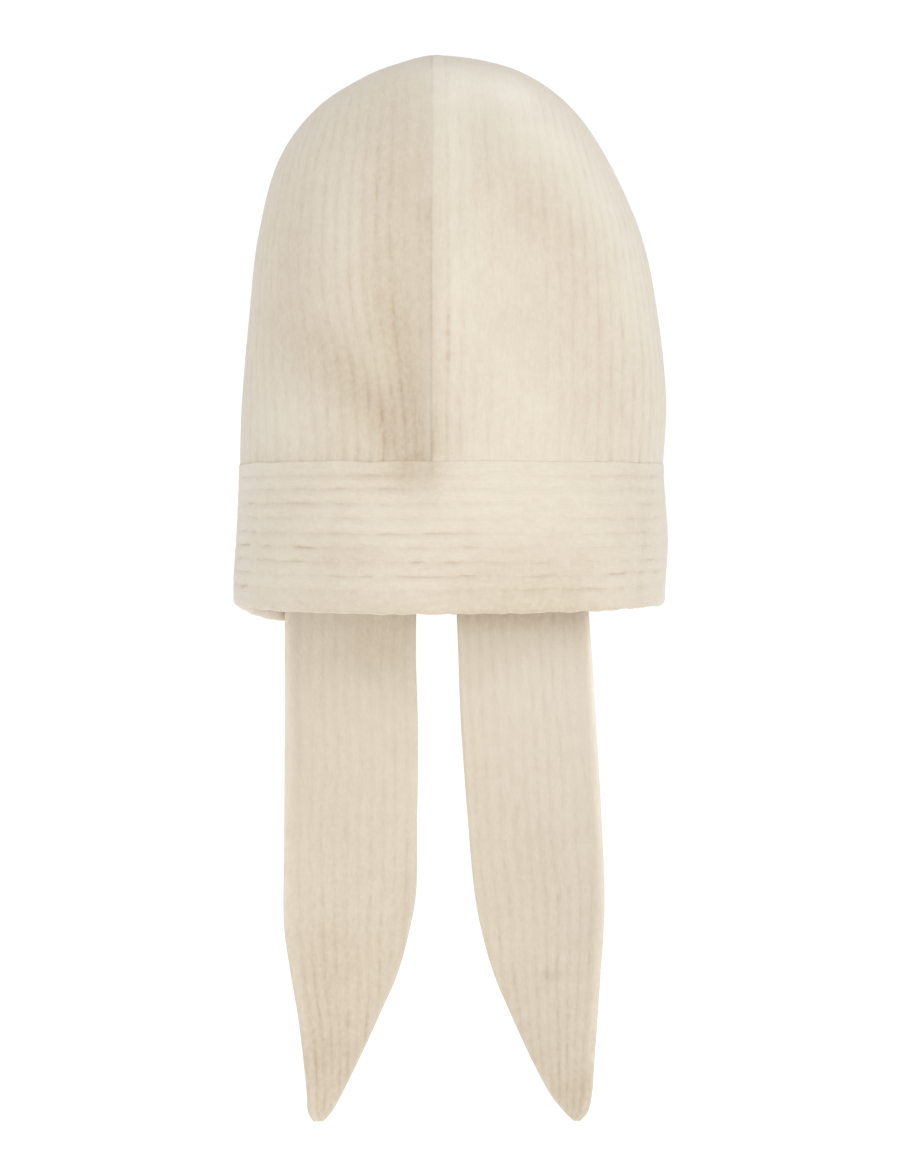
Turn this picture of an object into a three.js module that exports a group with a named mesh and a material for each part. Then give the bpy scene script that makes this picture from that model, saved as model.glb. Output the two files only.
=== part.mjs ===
// Knit hood: two ribbed wool panels joined by a centre seam, a deep band with its ribs running round
// the head, and two long pointed ties sewn inside the back of the band.
// Millimetres, +Z up, front towards -Y. The origin is where the top of the head meets the inside of
// the crown, so the hood hangs down from it.

import * as THREE from 'three';

// Driving dimensions
const seamX = -8;
const sewnGap = 0.3;
const crownWall = 4.2;
const bandWall = 6.4;
const bandTop = -173.5;
const bandProud = 0.9;
const bandRibs = 10;
const ribPitch = 6.5;
const ribDepth = 1.25;
const pitchGrowth = 0.1;
const squareness = 2.2;
const hemHeight = -233.6;
const hemRoll = 3.2;
const hemTuck = 0.965;
const seamEdgeRise = 0.9;
const seamEdgeFacets = 3;
const tieThickness = 4.6;
const tieEdge = 2.2;
const tieClearance = 0.5;
const tieRibs = 11;
const tieRibDepth = 1.0;

// The left panel falls away from the front seam: over what distance, how deep near the tip and at the
// deepest, and where that is
const seamFallReach = 14;
const seamFallTop = 1.2;
const seamFallDeep = 3.4;
const seamFallLowest = -146;
const seamFallHalfHeight = 46;

// On the front the ribs drift towards the seam above the band, by this share of each panel
const ribDrift = { left: 0.11, right: 0.04 };
const ribDriftFrom = -80;
const ribDriftTo = -172;

// Facets
const facetsPerRib = 2;
const innerStride = 4;
const smoothFacets = 8;
const bandColumns = 56;
const arcSamples = 72;

const wool = { colour: 0xe6dcc8, roughness: 0.95 };

// Outer form of the hood, from below the hem to the tip of the crown: the height, the reach to the left
// and right of the seam plane and to the front and back of the ear line, and how many rows of facets
// the crown has up to the next level.
const form = [
  { height: -246, left: 85.9, right: 99.0, front: 99.0, back: 103.0, rows: 0 },
  { height: -224, left: 86.4, right: 100.3, front: 99.4, back: 103.6, rows: 0 },
  { height: -207, left: 85.3, right: 101.1, front: 99.6, back: 104.2, rows: 0 },
  { height: -190, left: 84.4, right: 100.3, front: 99.6, back: 104.8, rows: 0 },
  { height: -173.5, left: 83.9, right: 99.4, front: 99.4, back: 105.4, rows: 1 },
  { height: -145, left: 82.9, right: 100.6, front: 99.0, back: 106.6, rows: 2 },
  { height: -110, left: 79.9, right: 97.2, front: 97.4, back: 106.8, rows: 2 },
  { height: -75, left: 76.0, right: 90.2, front: 92.6, back: 102.6, rows: 3 },
  { height: -42, left: 67.3, right: 75.8, front: 80.5, back: 90.0, rows: 3 },
  { height: -19.5, left: 51.3, right: 60.4, front: 62.0, back: 68.5, rows: 2 },
  { height: -5.5, left: 30.3, right: 42.4, front: 41.0, back: 44.0, rows: 2 },
  { height: 1.4, left: 12.5, right: 23.5, front: 19.0, back: 19.5, rows: 1 },
  { height: 4.2, left: 0, right: 0, front: 0, back: 0, rows: 0 },
];

// Soft dents: where each is centred, its half length and half width, how far its lower end leans to the
// right in degrees, its depth, and whether it lies on the front or the back.
const dents = [
  { x: -45, height: -136, halfLength: 36, halfWidth: 12, lean: 43, depth: 2.6, front: true },
  { x: -21, height: -152, halfLength: 44, halfWidth: 14, lean: 6, depth: 2.4, front: true },
  { x: 45, height: -100, halfLength: 66, halfWidth: 19, lean: 27, depth: 2.2, front: true },
  { x: 34, height: -128, halfLength: 46, halfWidth: 17, lean: -20, depth: 2.4, front: false },
  { x: -48, height: -112, halfLength: 40, halfWidth: 16, lean: 24, depth: 2.0, front: false },
];

// How far the hem drops below its highest point, round the hood from the front rightwards. A quarter of
// the hood's length round counts as 90 degrees.
const hemDrops = [
  { angle: 0, drop: 4.0 },
  { angle: 45, drop: 2.4 },
  { angle: 90, drop: 0 },
  { angle: 135, drop: 1.4 },
  { angle: 180, drop: 3.8 },
  { angle: 225, drop: 7.2 },
  { angle: 270, drop: 0.6 },
  { angle: 315, drop: 2.6 },
];

// The ties from top to tip: the height, the edges as they show from the front, how much of the band's
// curve the tie still has in plan, and how much of its full thickness it has.
const tieLeftForm = [
  { height: -199, left: -73.4, right: -15.9, curl: 1, body: 1 },
  { height: -240, left: -73.2, right: -15.9, curl: 1, body: 1 },
  { height: -286, left: -73.4, right: -15.7, curl: 0.85, body: 1 },
  { height: -332, left: -74, right: -15.4, curl: 0.7, body: 1 },
  { height: -360, left: -73.9, right: -15.9, curl: 0.62, body: 1 },
  { height: -378, left: -73, right: -19.1, curl: 0.58, body: 1 },
  { height: -397, left: -70.3, right: -24.3, curl: 0.54, body: 1 },
  { height: -415, left: -67.6, right: -32.4, curl: 0.5, body: 1 },
  { height: -433.5, left: -65.7, right: -41.1, curl: 0.46, body: 1 },
  { height: -449, left: -64.4, right: -48.8, curl: 0.43, body: 1 },
  { height: -457.5, left: -64, right: -53.5, curl: 0.4, body: 0.85 },
  { height: -462, left: -61.8, right: -57.3, curl: 0.4, body: 0.5 },
];
const tieRightForm = [
  { height: -199, left: 2, right: 60.3, curl: 1, body: 1 },
  { height: -240, left: 2.1, right: 60.3, curl: 1, body: 1 },
  { height: -286, left: 4.1, right: 63.5, curl: 0.85, body: 1 },
  { height: -332, left: 7.6, right: 66.1, curl: 0.7, body: 1 },
  { height: -360, left: 10.1, right: 67.3, curl: 0.62, body: 1 },
  { height: -378, left: 13.3, right: 66.9, curl: 0.58, body: 1 },
  { height: -397, left: 18.6, right: 65.5, curl: 0.54, body: 1 },
  { height: -415, left: 26, right: 64.1, curl: 0.5, body: 1 },
  { height: -433.5, left: 34.5, right: 62.8, curl: 0.46, body: 1 },
  { height: -449, left: 42.7, right: 61.7, curl: 0.43, body: 1 },
  { height: -457.5, left: 49.1, right: 60, curl: 0.4, body: 0.85 },
  { height: -462, left: 53.6, right: 56.6, curl: 0.4, body: 0.5 },
];

// A smooth curve through four neighbouring values
function through(a, b, c, d, f) {
  const bend = 2 * a - 5 * b + 4 * c - d;
  const twist = 3 * (b - c) + d - a;
  return b + 0.5 * f * (c - a + f * (bend + f * twist));
}

// The hood's form at a fractional row. Past the tip the dome comes down again on the far side.
function formAt(place) {
  const last = form.length - 1;
  const row = Math.min(Math.floor(place), last - 1);
  const values = {};
  for (const name of ['height', 'left', 'right', 'front', 'back']) {
    const mirror = name === 'height' ? 1 : -1;
    const before = row > 0 ? form[row - 1][name] : form[0][name];
    const after = row + 2 <= last ? form[row + 2][name] : mirror * form[last - 1][name];
    values[name] = through(before, form[row][name], form[row + 1][name], after, place - row);
  }
  return values;
}

// The fractional row of the form at a height
function placeAtHeight(height) {
  let low = 0;
  let high = form.length - 1;
  for (let step = 0; step < 40; step += 1) {
    const middle = (low + high) / 2;
    if (formAt(middle).height < height) low = middle;
    else high = middle;
  }
  return (low + high) / 2;
}

function smoothStep(from, to, value) {
  const share = Math.min(Math.max((value - from) / (to - from), 0), 1);
  return share * share * (3 - 2 * share);
}

// Depth of the dents at a point of the outer face. The left panel also falls away from the seam.
function dentDepth(x, y, height) {
  let depth = 0;
  for (const dent of dents) {
    const facing = dent.front ? -y : y;
    const lean = THREE.MathUtils.degToRad(dent.lean);
    const across = (x - dent.x) * Math.cos(lean) + (height - dent.height) * Math.sin(lean);
    const along = (height - dent.height) * Math.cos(lean) - (x - dent.x) * Math.sin(lean);
    const spread = (across / dent.halfWidth) ** 2 + (along / dent.halfLength) ** 2;
    depth += dent.depth * Math.exp(-spread) * smoothStep(10, 60, facing);
  }
  const leftOfSeam = Math.max(seamX - x, 0) / seamFallReach;
  const low = Math.exp(-(((height - seamFallLowest) / seamFallHalfHeight) ** 2));
  const fade = smoothStep(hemHeight + 20, bandTop, height) * smoothStep(0, 14, -height);
  const fall = leftOfSeam * Math.exp(1 - leftOfSeam) * (seamFallTop + (seamFallDeep - seamFallTop) * low);
  return depth + fall * fade * smoothStep(10, 60, -y);
}

// Quarter of the hood's outline in plan, as angles at even steps of length from the seam to the side
function quarterAngles(side, depth) {
  const lengths = [0];
  let before = [0, depth];
  for (let step = 1; step <= arcSamples; step += 1) {
    const point = quarterPoint(side, depth, (step / arcSamples) * Math.PI / 2);
    lengths.push(lengths[step - 1] + Math.hypot(point[0] - before[0], point[1] - before[1]));
    before = point;
  }
  const total = lengths[arcSamples];
  const angleAt = (share) => {
    let step = 1;
    while (step < arcSamples && lengths[step] < share * total) step += 1;
    const part = (share * total - lengths[step - 1]) / Math.max(lengths[step] - lengths[step - 1], 1e-9);
    return ((step - 1 + part) / arcSamples) * Math.PI / 2;
  };
  return { total, angleAt };
}

function quarterPoint(side, depth, angle) {
  const power = 2 / squareness;
  const sine = Math.max(Math.sin(angle), 0);
  const cosine = angle >= Math.PI / 2 - 1e-9 ? 0 : Math.cos(angle);
  return [side * sine ** power, depth * cosine ** power];
}

// A point of the hood's face: sideways is 'left' or 'right', lengthways is 'front' or 'back', share runs
// from the seam to the side, and inwards is the distance in from the outer face.
function facePoint(place, sideways, lengthways, share, inwards) {
  const here = formAt(place);
  const ahead = formAt(Math.min(place + 1e-3, form.length - 1));
  const behind = formAt(Math.max(place - 1e-3, 0));
  const side = here[sideways];
  const depth = here[lengthways];
  const xSign = sideways === 'left' ? -1 : 1;
  const ySign = lengthways === 'front' ? -1 : 1;
  if (side < 1e-6) return new THREE.Vector3(seamX, 0, here.height - inwards);
  const quarter = quarterAngles(side, depth);
  const [across, along] = quarterPoint(side, depth, quarter.angleAt(share));
  const rise = ahead.height - behind.height;
  const acrossPart = (across / side) ** squareness;
  const alongPart = (along / depth) ** squareness;
  const normal = new THREE.Vector3(
    xSign * (acrossPart > 0 ? acrossPart / across : 0) * rise,
    ySign * (alongPart > 0 ? alongPart / along : 0) * rise,
    -(acrossPart * (ahead[sideways] - behind[sideways]) / side
      + alongPart * (ahead[lengthways] - behind[lengthways]) / depth),
  ).normalize();
  const point = new THREE.Vector3(seamX + xSign * across, ySign * along, here.height);
  const depthHere = inwards + dentDepth(point.x, point.y, point.z);
  return point.addScaledVector(normal, -depthHere);
}

// Collects points and triangles, and makes the mesh once all are in
class Skin {
  constructor() {
    this.points = [];
    this.triangles = [];
  }

  add(point) {
    this.points.push(point.x, point.y, point.z);
    return this.points.length / 3 - 1;
  }

  triangle(a, b, c, flipped) {
    if (a === b || b === c || a === c) return;
    if (flipped) this.triangles.push(a, c, b);
    else this.triangles.push(a, b, c);
  }

  // Faces between two rows of points. The shorter row's last point gets a fan.
  strip(lower, upper, flipped) {
    const shared = Math.min(lower.length, upper.length) - 1;
    for (let column = 0; column < shared; column += 1) {
      this.triangle(lower[column], lower[column + 1], upper[column + 1], flipped);
      this.triangle(lower[column], upper[column + 1], upper[column], flipped);
    }
    for (let column = shared; column < lower.length - 1; column += 1) {
      this.triangle(lower[column], lower[column + 1], upper[shared], flipped);
    }
    for (let column = shared; column < upper.length - 1; column += 1) {
      this.triangle(lower[shared], upper[column + 1], upper[column], flipped);
    }
  }

  // Faces between a fine row and a coarse one that has every innerStride-th point
  rim(fine, coarse, flipped) {
    for (let group = 0; group < coarse.length - 1; group += 1) {
      const first = group * innerStride;
      const half = first + innerStride / 2;
      for (let column = first; column < first + innerStride; column += 1) {
        const anchor = column < half ? coarse[group] : coarse[group + 1];
        this.triangle(fine[column], fine[column + 1], anchor, flipped);
      }
      this.triangle(fine[half], coarse[group + 1], coarse[group], flipped);
    }
  }

  // Closes a flat loop that runs out along one face and back along the other
  cap(loop, flipped) {
    const size = loop.length - 1;
    for (let column = 0; column < size / 2 - 1; column += 1) {
      const opposite = size - 1 - column;
      this.triangle(loop[column], loop[column + 1], loop[opposite - 1], flipped);
      this.triangle(loop[column], loop[opposite - 1], loop[opposite], flipped);
    }
  }

  mesh(name) {
    const geometry = new THREE.BufferGeometry();
    geometry.setAttribute('position', new THREE.Float32BufferAttribute(this.points, 3));
    geometry.setIndex(this.triangles);
    geometry.computeVertexNormals();
    const material = new THREE.MeshStandardMaterial({
      color: wool.colour, roughness: wool.roughness, metalness: 0, flatShading: true,
    });
    const mesh = new THREE.Mesh(geometry, material);
    mesh.name = name;
    return mesh;
  }
}

// Where a rib line lies between the seam and the side, as a share of the way. Ribs widen a little
// towards the side, and on the front they drift towards the seam above the band.
function ribShare(share, sideways, lengthways, height) {
  let drift = 0;
  if (lengthways === 'front') {
    drift = ribDrift[sideways] * smoothStep(ribDriftFrom, ribDriftTo, height) * Math.sin(Math.PI * share);
  }
  return share * (1 - pitchGrowth) + pitchGrowth * share * share - drift;
}

// Rows of the crown, as fractional rows of the form, from the band to the tip
function crownRows() {
  const rows = [];
  form.forEach((level, index) => {
    for (let step = 0; step < level.rows; step += 1) rows.push(index + step / level.rows);
  });
  rows.push(form.length - 1);
  return rows;
}

// How many facets a quarter has at a row, a multiple of the inner face's stride
function quarterFacets(place, sideways) {
  const here = formAt(place);
  const length = quarterAngles(here[sideways], (here.front + here.back) / 2).total;
  return innerStride * Math.round(length / (ribPitch / facetsPerRib) / innerStride);
}

// Relief of the outer face on one rib line: crests at even columns, valleys at odd ones, flattened on
// the dome where ribs run out at the side. The right panel's edge is folded over the seam and stands a
// little proud of it.
function crownRelief(column, facets, fullFacets, sideways) {
  if (sideways === 'right' && column < seamEdgeFacets) return -seamEdgeRise;
  if (column % 2 === 0) return 0;
  const onDome = Math.min((fullFacets - facets) / smoothFacets, 1);
  const nearSide = 1 - smoothStep(2, smoothFacets, facets - column);
  return ribDepth * Math.min(facets / smoothFacets, 1) * (1 - onDome * nearSide);
}

function crownPanel(name, sideways) {
  const skin = new Skin();
  const rows = crownRows();
  const seamFace = seamX + (sideways === 'left' ? -1 : 1) * sewnGap / 2;
  const fullFacets = quarterFacets(rows[0], sideways);
  const quarters = {};
  for (const lengthways of ['front', 'back']) {
    const outer = [];
    const inner = [];
    rows.forEach((place, row) => {
      const facets = quarterFacets(place, sideways);
      const fine = [];
      const coarse = [];
      for (let column = 0; column <= facets; column += 1) {
        const share = facets === 0 ? 0 : column / facets;
        const laid = ribShare(share, sideways, lengthways, formAt(place).height);
        const onSideLine = column === facets && lengthways === 'back';
        const layers = [[fine, crownRelief(column, facets, fullFacets, sideways)]];
        if (column % innerStride === 0) layers.push([coarse, crownWall]);
        layers.forEach(([list, inwards], layer) => {
          const front = quarters.front;
          if (onSideLine) {
            const shared = layer === 0 ? front.outer[row] : front.inner[row];
            list.push(shared[shared.length - 1]);
            return;
          }
          const point = facePoint(place, sideways, lengthways, laid, inwards);
          if (row === 0) point.z = bandTop;
          if (column === 0) point.x = seamFace;
          list.push(skin.add(point));
        });
      }
      outer.push(fine);
      inner.push(coarse);
    });
    quarters[lengthways] = { outer, inner };
    const flipped = (sideways === 'left') === (lengthways === 'front');
    for (let row = 0; row < rows.length - 1; row += 1) {
      skin.strip(outer[row], outer[row + 1], flipped);
      skin.strip(inner[row], inner[row + 1], !flipped);
      skin.triangle(outer[row][0], outer[row + 1][0], inner[row + 1][0], flipped);
      skin.triangle(outer[row][0], inner[row + 1][0], inner[row][0], flipped);
    }
    skin.rim(outer[0], inner[0], !flipped);
  }
  return skin.mesh(name);
}

// How far the hem hangs below its highest point at an angle round the hood
function hemDrop(angle) {
  const spacing = 360 / hemDrops.length;
  const place = (((angle % 360) + 360) % 360) / spacing;
  const row = Math.floor(place);
  const dropAt = (index) => hemDrops[(index + hemDrops.length) % hemDrops.length].drop;
  return through(dropAt(row - 1), dropAt(row), dropAt(row + 1), dropAt(row + 2), place - row);
}

// A point of the band at an angle round the hood from the front, rightwards
function bandPoint(angle, height, inwards) {
  const turn = ((angle % 360) + 360) % 360;
  const sideways = turn <= 180 ? 'right' : 'left';
  const lengthways = turn <= 90 || turn >= 270 ? 'front' : 'back';
  const fromSeam = lengthways === 'front' ? Math.min(turn, 360 - turn) : Math.abs(180 - turn);
  return facePoint(placeAtHeight(height), sideways, lengthways, fromSeam / 90, inwards - bandProud);
}

// The band's section from its top edge down the outer face, round the hem and up the inner face: the
// share of the way down, and the distance in from the outer face
function bandSection() {
  const section = [{ down: 0, inwards: 1.0 }];
  const facets = bandRibs * facetsPerRib;
  for (let step = 1; step < facets; step += 1) {
    section.push({ down: (step / facets) * hemTuck, inwards: step % 2 === 0 ? ribDepth : 0 });
  }
  section.push({ down: 0.985, inwards: 0.7 });
  section.push({ down: 1, inwards: hemRoll });
  section.push({ down: 0.985, inwards: bandWall - 0.5 });
  for (const down of [0.93, 0.7, 0.4, 0]) section.push({ down, inwards: bandWall });
  return section;
}

function band() {
  const skin = new Skin();
  const section = bandSection();
  const top = bandTop - sewnGap;
  const loops = section.map(({ down, inwards }) => {
    const loop = [];
    for (let column = 0; column < bandColumns; column += 1) {
      const angle = (column / bandColumns) * 360;
      const bottom = hemHeight - hemDrop(angle);
      const height = top + (bottom - top) * down;
      const point = bandPoint(angle, height, inwards);
      point.z = height;
      loop.push(skin.add(point));
    }
    loop.push(loop[0]);
    return loop;
  });
  loops.push(loops[0]);
  for (let row = 0; row < loops.length - 1; row += 1) skin.strip(loops[row + 1], loops[row], false);
  return skin.mesh('band');
}

// Where a tie's middle layer lies behind the ear line when it follows the band's back wall
function alongWall(x) {
  const here = formAt(placeAtHeight(hemHeight));
  const inset = bandWall + tieClearance + (tieThickness + tieRibDepth) / 2 - bandProud;
  const side = here[x < seamX ? 'left' : 'right'] - inset;
  const share = Math.min(Math.abs(x - seamX) / side, 1);
  return (here.back - inset) * (1 - share ** squareness) ** (1 / squareness);
}

// One row of a tie, as a loop down its front face from left to right and back along its rear face. The
// ribs bend the whole cloth, so a crest in front is a valley behind.
function tieRow(row, sewnMiddle, fullWidth) {
  const columns = tieRibs * facetsPerRib;
  const width = row.right - row.left;
  const middle = (row.left + row.right) / 2;
  const slope = (alongWall(sewnMiddle + 1) - alongWall(sewnMiddle - 1)) / 2;
  const normal = new THREE.Vector2(-slope, 1).normalize();
  const fullness = Math.min(width / fullWidth, 1);
  const front = [];
  const rear = [];
  for (let column = 0; column <= columns; column += 1) {
    const sideways = width * (column / columns - 0.5);
    const curved = alongWall(sewnMiddle + sideways) - alongWall(sewnMiddle);
    const y = alongWall(sewnMiddle) + slope * sideways * (1 - row.curl) + curved * row.curl;
    const wave = (column % 2 === 1 ? 0.5 : -0.5) * tieRibDepth * fullness;
    const half = (column === 0 || column === columns ? tieEdge : tieThickness) / 2;
    const at = (out) => new THREE.Vector3(middle + sideways + normal.x * out, y + normal.y * out, row.height);
    front.push(at(wave - half * row.body));
    rear.push(at(wave + half * row.body));
  }
  return [...front, ...rear.reverse()];
}

function tie(name, tieForm) {
  const skin = new Skin();
  const top = tieForm[0];
  const loops = tieForm.map((row) => {
    const points = tieRow(row, (top.left + top.right) / 2, top.right - top.left);
    const loop = points.map((point) => skin.add(point));
    loop.push(loop[0]);
    return loop;
  });
  for (let row = 0; row < loops.length - 1; row += 1) skin.strip(loops[row + 1], loops[row], false);
  skin.cap(loops[0], false);
  skin.cap(loops[loops.length - 1], true);
  return skin.mesh(name);
}

const hood = new THREE.Group();
hood.add(crownPanel('crown_left', 'left'));
hood.add(crownPanel('crown_right', 'right'));
hood.add(band());
hood.add(tie('tie_left', tieLeftForm));
hood.add(tie('tie_right', tieRightForm));

export default hood;
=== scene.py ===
"""Knit hood: a crown of two ribbed wool panels, a deep cross-ribbed band and two long pointed ties.

The hood is filled out as it is when worn. All lengths in the tables are millimetres in the frame of
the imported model: +Z is up, -Y is the front, and the origin is inside the top of the crown.
"""

import math

import bmesh
import bpy
import numpy as np
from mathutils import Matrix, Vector


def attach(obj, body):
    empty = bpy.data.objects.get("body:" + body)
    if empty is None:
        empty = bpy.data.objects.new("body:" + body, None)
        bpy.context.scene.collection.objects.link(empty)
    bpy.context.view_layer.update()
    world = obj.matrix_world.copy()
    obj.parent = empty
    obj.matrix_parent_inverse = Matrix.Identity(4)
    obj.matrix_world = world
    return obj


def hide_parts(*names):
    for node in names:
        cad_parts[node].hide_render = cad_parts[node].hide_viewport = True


bl_info = {
    "name": "Knit hood",
    "version": (1, 0, 0),
    "blender": (4, 5, 0),
    "location": "View3D > Sidebar > Knit hood",
    "description": "Ribbed wool hood with a centre seam, a cross-ribbed band and long ties",
    "category": "Object",
}

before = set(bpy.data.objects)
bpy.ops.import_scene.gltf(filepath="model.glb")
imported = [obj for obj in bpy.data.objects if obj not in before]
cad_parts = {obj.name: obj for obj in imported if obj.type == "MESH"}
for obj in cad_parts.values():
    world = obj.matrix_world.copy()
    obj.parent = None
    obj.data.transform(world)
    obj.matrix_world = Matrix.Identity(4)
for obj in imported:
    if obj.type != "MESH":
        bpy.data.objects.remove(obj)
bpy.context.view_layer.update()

MM = 0.001

# Outer form of the hood, from below the hem to the tip of the crown: the height, and the reach to the
# left and right of the seam plane and to the front and back of the ear line
FORM = np.array([
    [-246.0, 85.9, 99.0, 99.0, 103.0],
    [-224.0, 86.4, 100.3, 99.4, 103.6],
    [-207.0, 85.3, 101.1, 99.6, 104.2],
    [-190.0, 84.4, 100.3, 99.6, 104.8],
    [-173.5, 83.9, 99.4, 99.4, 105.4],
    [-145.0, 82.9, 100.6, 99.0, 106.6],
    [-110.0, 79.9, 97.2, 97.4, 106.8],
    [-75.0, 76.0, 90.2, 92.6, 102.6],
    [-42.0, 67.3, 75.8, 80.5, 90.0],
    [-19.5, 51.3, 60.4, 62.0, 68.5],
    [-5.5, 30.3, 42.4, 41.0, 44.0],
    [1.4, 12.5, 23.5, 19.0, 19.5],
    [4.2, 0.0, 0.0, 0.0, 0.0],
])
HEIGHT, LEFT, RIGHT, FRONT, BACK = range(5)
TIP = len(FORM) - 1
CROWN_FOOT = 4
SQUARENESS = 2.2
SEAM_X = -8.0
SEWN_GAP = 0.3
CROWN_WALL = 4.2

# Soft patches of the face: centre across and in height, half length, half width, lean in degrees,
# amount, and which end. First the depth of the dents, then how far the nap hides the ribs, then the painted
# shade of the hollows, folds, seam and hem, or painted light on the lit parts where the amount is below
# zero
DENTS = [
    (-46, -134, 36, 12, 43, 3.6, FRONT),
    (-23, -150, 44, 14, 6, 3, FRONT),
    (45, -100, 66, 19, 27, 2.6, FRONT),
    (34, -128, 46, 17, -20, 2.4, BACK),
    (-48, -112, 40, 16, 24, 2, BACK),
]
BRUSHED = [
    (28, -112, 90, 36, 8, 0.9, FRONT),
    (-80, -100, 84, 24, 0, 0.85, FRONT),
    (-20, -40, 40, 14, 0, 0.4, FRONT),
    (-17, -140, 44, 10, 4, 0.6, FRONT),
    (40, -196, 30, 60, 0, 0.45, FRONT),
    (40, -90, 40, 24, -12, 0.5, BACK),
    (-30, -120, 36, 20, 10, 0.45, BACK),
]
# Painted shade on the face, and painted light where the amount is below zero
PAINTED_SHADE = [(*patch, FRONT) for patch in (
    # The band and its hem: painted shade under the crown's foot and along the hem, and painted light on a
    # few patches of the hem
    (-20, -177, 8, 12, 0, 0.8),
    (34, -216, 9, 34, 0, 0.45),
    (-34, -214, 7, 28, 0, 0.35),
    (28, -230, 12, 30, 0, 0.3),
    (84, -205, 30, 10, 0, 0.35),
    (-46, -213, 8, 14, 0, 0.3),
    (-75, -230, 9, 12, 0, -0.4),
    (-10, -230, 9, 12, 0, -0.4),
    (70, -230, 9, 12, 0, -0.3),
    (0, -236, 9, 300, 0, 0.7),
    (-24, -199, 14, 14, 0, -0.25),
    (20, -186, 14, 34, 0, -0.2),
    # The seam and its folded edge: painted shade beside them and painted light on the fold
    (3, -163, 9, 8, 0, 0.35),
    (-10.5, -132, 26, 4.5, 0, -0.4),
    (-6, -134, 26, 3, 0, 0.2),
    (-7.8, -128, 40, 1.8, 0, 0.45),
    (-6.5, -164, 15, 3.4, 0, 0.75),
    (-11, -158, 12, 2.6, 0, -0.4),
    (3, -26, 30, 9, 0, -0.45),
    (2, -80, 60, 9, 0, -0.2),
    (-4.5, -95, 70, 3.2, 0, 0.3),
    (-11, -96, 44, 4, 0, 0.25),
    (-10, -69, 6, 1.4, 0, 0.7),
    (-8.4, -165, 9, 1.4, 0, 0.9),
    # Painted shade in the hollow of the left panel beside the seam, and in the folds that lead into it
    (-24, -131, 38, 11, 6, 1),
    (-18, -163, 14, 7, 0, 0.3),
    (-39, -163, 11, 8, 0, 0.7),
    (-47, -147, 12, 10, 0, 0.3),
    (-53, -137, 42, 14, 40, 0.7),
    # The rest of the left panel
    (-24, -52, 40, 12, 4, 0.45),
    (-36, -100, 22, 9, 0, 0.35),
    (-53, -60, 34, 12, 0, -0.3),
    (-48, -77, 16, 8, 0, -0.3),
    (-72, -84, 24, 8, 0, 0.25),
    (-80, -158, 16, 10, 0, -0.6),
    # The right panel: painted light on its lit upper part and right rim, and painted shade in its lower
    # folds
    (26, -6, 12, 34, 0, -1.3),
    (36, -8, 10, 10, 30, -1),
    (48, -22, 30, 19, 35, -0.9),
    (75, -66, 46, 15, 24, -0.75),
    (84, -110, 34, 8, 0, -0.3),
    (36, -60, 28, 14, 45, 0.35),
    (50, -90, 26, 16, 20, 0.35),
    (70, -140, 30, 16, 0, 0.28),
    (46, -128, 14, 12, 0, 0.2),
    (30, -110, 14, 11, 0, 0.3),
    (82, -150, 22, 8, 0, 0.25),
)]

# Painted shade over the whole left panel, which faces away from the key lamp, and painted shade in the
# crease where each panel meets the band, deeper on the left
PANEL_SHADE = {LEFT: 0.35, RIGHT: 0.0}
JOINT_SHADE = {LEFT: 0.6, RIGHT: 0.1}

# The left panel falls away from the front seam: reach, depth near the tip, greatest depth, its height
# and the half height of the deep part
SEAM_FALL = (18.0, 2.4, 4.6, -140.0, 50.0)

# Ribs of the crown: how many lie between the seam and the side, how much wider they get towards the
# side, the drift of the front ribs towards the seam with the heights between which it grows, how much
# longer they keep their full number up the dome, how wide a curve they turn in at the side, and the rows
# of the mesh
CROWN_RIBS = {LEFT: 19.5, RIGHT: 22.0}
RIB_GROWTH = 0.1
RIB_DRIFT = {LEFT: 0.11, RIGHT: 0.04}
DRIFT_HEIGHTS = (-80.0, -172.0)
RIB_CROWDING = 1.05
SIDE_ROUNDING = 12.0
CROWN_ROWS = 190

# Where the columns of the mesh lie between one groove and the next
COLUMNS = np.array([0.0, 0.045, 0.12, 0.28, 0.5, 0.72, 0.88, 0.955])

# Length of the dashes that the thin cuts break up into, and how far the ribs wander sideways
DASH = 5.0
WANDER = 0.8

# Lumps of the crown's cloth, the slow ones and the small ones: depth, width, height, place in the noise
# and seed
LUMPS = [(0.55, 24, 30, 40, 0), (0.16, 6, 8, 90, 4)]

# The crown near the band: how far up it is drawn in, how far up the lumps are held flat, and the share
# of the ribs' painted shade that stays at the sides. Then the ribs' depth inside the hood
JOINT_REACH = 2.4
JOINT_CALM = 10.0
SIDE_SHADE = 0.25
CROWN_INSIDE = 0.4
BAND_INSIDE = 0.35

# The right panel's edge is folded over the seam: its width, how far it stands proud, and the depth of
# the stitched groove beside it and the painted shade in that groove, with the middle and half height of
# the stretch where it shows most
FOLD_RIBS = 1.0
FOLD_RISE = 0.5
FOLD_GROOVE = 0.55
FOLD_SHADE = 1.6
FOLD_MIDDLE = -118.0
FOLD_HALF = 36.0

# The folded edge laps over the left panel by this much, within this distance of the seam. Then how
# round the left panel's edge is, and the folded one
LAP = 0.9
LAP_REACH = 1.2
EDGE_ROUND = 0.5
FOLD_ROUND = 0.9

# Band: its top, its wall, how far it stands proud of the crown, where its grooves lie as shares of the
# way down, the columns of the mesh, its length round, how many dashes and swells go round it, how deep
# the swells are, and how far the ribs drift up and down
BAND_TOP = -173.5
BAND_WALL = 6.4
BAND_PROUD = 0.2
BAND_GROOVES = [0.0, 0.075, 0.166, 0.265, 0.362, 0.465, 0.560, 0.656, 0.747, 0.842, 1.0]
BAND_COLUMNS = 420
BAND_ROUND = 603.0
BAND_DASHES = 84
BAND_SWELLS = 16
BAND_SWELL = 0.35
BAND_DRIFT = 0.6

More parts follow.
